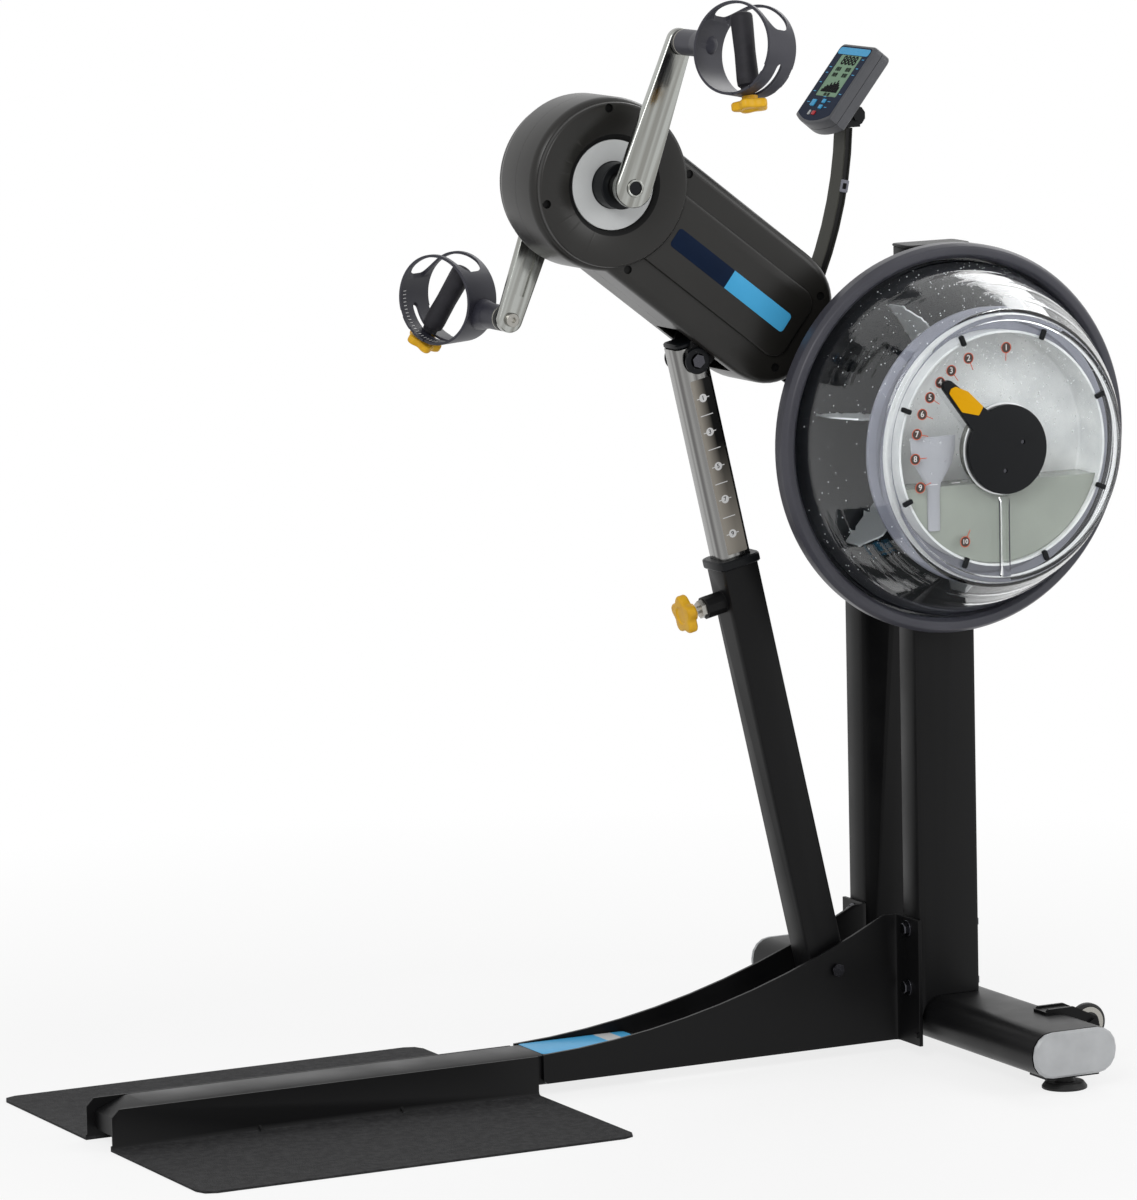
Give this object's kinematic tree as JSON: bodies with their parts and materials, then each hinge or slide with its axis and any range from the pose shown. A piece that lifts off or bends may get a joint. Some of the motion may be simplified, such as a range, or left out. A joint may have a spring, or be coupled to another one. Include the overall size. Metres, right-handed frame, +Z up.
{
  "type": "arm ergometer",
  "caption": "Standing upper-body ergometer: opposed hand cranks with ring grips on a tilting head, a telescopic leg, a clear fluid tank with a level dial, and a floor frame with foot plates.",
  "frame": {"origin": "centre of the footprint on the floor", "axes": "+Z up, +X from the user's end towards the tank end, -Y towards the user's right, where the tank is"},
  "size_m": [1.4136, 0.7606, 1.3924],
  "materials": {
    "frame": "satin black powder coat",
    "plate": "coarse textured black powder coat",
    "moulding": "fine textured moulding",
    "slate": "slate grey moulding",
    "rubber": "matt",
    "chrome": "polished",
    "silver": "satin",
    "pale": "satin",
    "yellow": "satin",
    "clear": "clear",
    "black": "satin",
    "blue": "satin",
    "sky": "satin",
    "red": "satin",
    "glass": "clear"
  },
  "bodies": {
    "base": {"rail": "frame", "step_plate_right": "plate", "step_plate_left": "plate", "cheek_right": "frame", "cheek_left": "frame", "upright_right": "frame", "upright_left": "frame", "upright_cap_right": "rubber", "upright_cap_left": "rubber", "rear_stabiliser": "frame", "stabiliser_cap_right": "silver", "stabiliser_cap_left": "silver", "lower_pivot_bolt": "black", "tank_back_shell": "black", "tank_ring": "slate", "tank_front_shell": "clear", "reservoir_drum": "clear"},
    "foot_right": {"levelling_foot_right": "rubber"},
    "foot_left": {"levelling_foot_left": "rubber"},
    "wheel_right": {"transport_wheel_right": "rubber"},
    "wheel_left": {"transport_wheel_left": "rubber"},
    "head": {"head_frame": "frame", "head_cover_right": "moulding", "head_cover_left": "moulding", "spindle_ring_right": "pale", "spindle_ring_left": "pale", "drive_belt": "rubber", "upper_pivot_bolt": "black", "console_arm": "moulding", "console_yoke": "black"},
    "leg_upper": {"leg_inner_tube": "chrome", "leg_top_cap": "rubber"},
    "leg_lower": {"leg_outer_tube": "frame", "leg_collar": "rubber"},
    "lock_pin": {"pull_pin": "chrome", "pull_knob": "yellow"},
    "cranks": {"crank_spindle": "chrome", "drive_pulley": "black", "crank_right": "chrome", "crank_left": "chrome", "handle_pin_right": "chrome", "handle_pin_left": "chrome"},
    "handle_right": {"guard_ring_right": "slate"},
    "handle_left": {"guard_ring_left": "slate"},
    "grip_right": {"grip_right": "rubber"},
    "grip_left": {"grip_left": "rubber"},
    "knob_right": {"grip_knob_right": "yellow"},
    "knob_left": {"grip_knob_left": "yellow"},
    "rotor": {"tank_shaft": "chrome", "impeller": "silver", "driven_pulley": "black"},
    "lever": {"level_lever": "black", "level_flag": "yellow"},
    "console": {"console_case": "blue", "console_screen": "glass"},
    "key_square": {"key_square": "sky"},
    "key_up": {"key_up": "sky"},
    "key_down": {"key_down": "sky"},
    "key_white": {"key_white": "pale"},
    "key_red": {"key_red": "red"}
  },
  "joints": [
    {"name": "head_tilt", "type": "hinge", "parent": "base", "child": "head", "pos_m": [0.45615, 0, 0.8084], "axis": [0, -1, 0], "range_deg": [0, 40.4]},
    {"name": "leg_top_pivot", "type": "hinge", "parent": "head", "child": "leg_upper", "pos_m": [0.13815, 0, 0.922], "axis": [0, -1, 0], "range_deg": [-35.8, 0]},
    {"name": "leg_telescope", "type": "slide", "parent": "leg_upper", "child": "leg_lower", "axis": [-0.2162, 0, 0.9764], "range_m": [0, 0.2266]},
    {"name": "pin_pull", "type": "slide", "parent": "leg_lower", "child": "lock_pin", "axis": [-0.9764, 0, -0.2162], "range_m": [0, 0.01], "stiffness_N_per_m": 800, "springref_m": -0.01},
    {"name": "crank_spin", "type": "hinge", "parent": "head", "child": "cranks", "pos_m": [0.01015, 0, 1.1556], "axis": [0, 1, 0], "continuous": true},
    {"name": "handle_spin_right", "type": "hinge", "parent": "cranks", "child": "handle_right", "pos_m": [0.07927, -0.115, 1.33473], "axis": [0, 1, 0], "continuous": true},
    {"name": "handle_spin_left", "type": "hinge", "parent": "cranks", "child": "handle_left", "pos_m": [-0.05897, 0.115, 0.97647], "axis": [0, 1, 0], "continuous": true},
    {"name": "grip_angle_right", "type": "hinge", "parent": "handle_right", "child": "grip_right", "pos_m": [0.10283, -0.238, 1.33015], "axis": [0.8897, 0.4226, -0.1729], "range_deg": [-50, 16]},
    {"name": "grip_angle_left", "type": "hinge", "parent": "handle_left", "child": "grip_left", "pos_m": [-0.08297, 0.238, 0.99447], "axis": [-0.9063, -0.4226, 0], "range_deg": [-32, 34]},
    {"name": "grip_knob_turn_right", "type": "hinge", "parent": "grip_right", "child": "knob_right", "pos_m": [0.10283, -0.238, 1.33015], "axis": [0.0533, 0.2801, 0.9585], "continuous": true},
    {"name": "grip_knob_turn_left", "type": "hinge", "parent": "grip_left", "child": "knob_left", "pos_m": [-0.08297, 0.238, 0.99447], "axis": [0.2484, -0.5327, 0.809], "continuous": true},
    {"name": "impeller_spin", "type": "hinge", "parent": "base", "child": "rotor", "pos_m": [0.45615, 0, 0.8084], "axis": [0, 1, 0], "continuous": true},
    {"name": "level_select", "type": "hinge", "parent": "base", "child": "lever", "pos_m": [0.45615, 0, 0.8084], "axis": [0, -1, 0], "range_deg": [-47.1, 108.8]},
    {"name": "console_tilt", "type": "hinge", "parent": "head", "child": "console", "pos_m": [0.38215, 0, 1.219], "axis": [0, -1, 0], "range_deg": [-25, 25]},
    {"name": "press_key_square", "type": "slide", "parent": "console", "child": "key_square", "axis": [0.7771, 0, -0.6293], "range_m": [0, 0.0008], "stiffness_N_per_m": 500, "springref_m": -0.0006},
    {"name": "press_key_up", "type": "slide", "parent": "console", "child": "key_up", "axis": [0.7771, 0, -0.6293], "range_m": [0, 0.0008], "stiffness_N_per_m": 500, "springref_m": -0.0006},
    {"name": "press_key_down", "type": "slide", "parent": "console", "child": "key_down", "axis": [0.7771, 0, -0.6293], "range_m": [0, 0.0008], "stiffness_N_per_m": 500, "springref_m": -0.0006},
    {"name": "press_key_white", "type": "slide", "parent": "console", "child": "key_white", "axis": [0.7771, 0, -0.6293], "range_m": [0, 0.0008], "stiffness_N_per_m": 500, "springref_m": -0.0006},
    {"name": "press_key_red", "type": "slide", "parent": "console", "child": "key_red", "axis": [0.7771, 0, -0.6293], "range_m": [0, 0.0008], "stiffness_N_per_m": 500, "springref_m": -0.0006},
    {"name": "wheel_spin_right", "type": "hinge", "parent": "base", "child": "wheel_right", "pos_m": [0.56015, -0.264, 0.06], "axis": [0, 1, 0], "continuous": true},
    {"name": "wheel_spin_left", "type": "hinge", "parent": "base", "child": "wheel_left", "pos_m": [0.56015, 0.264, 0.06], "axis": [0, 1, 0], "continuous": true},
    {"name": "foot_turn_right", "type": "hinge", "parent": "base", "child": "foot_right", "pos_m": [0.47515, -0.35, 0], "axis": [0, 0, 1], "continuous": true},
    {"name": "foot_turn_left", "type": "hinge", "parent": "base", "child": "foot_left", "pos_m": [0.47515, 0.35, 0], "axis": [0, 0, 1], "continuous": true}
  ],
  "couplings": [
    {"joint": "leg_top_pivot", "follows": "head_tilt", "ratio": -0.88564},
    {"joint": "leg_telescope", "follows": "head_tilt", "m_per_rad": 0.32122},
    {"joint": "impeller_spin", "follows": "crank_spin", "ratio": 2.5}
  ]
}
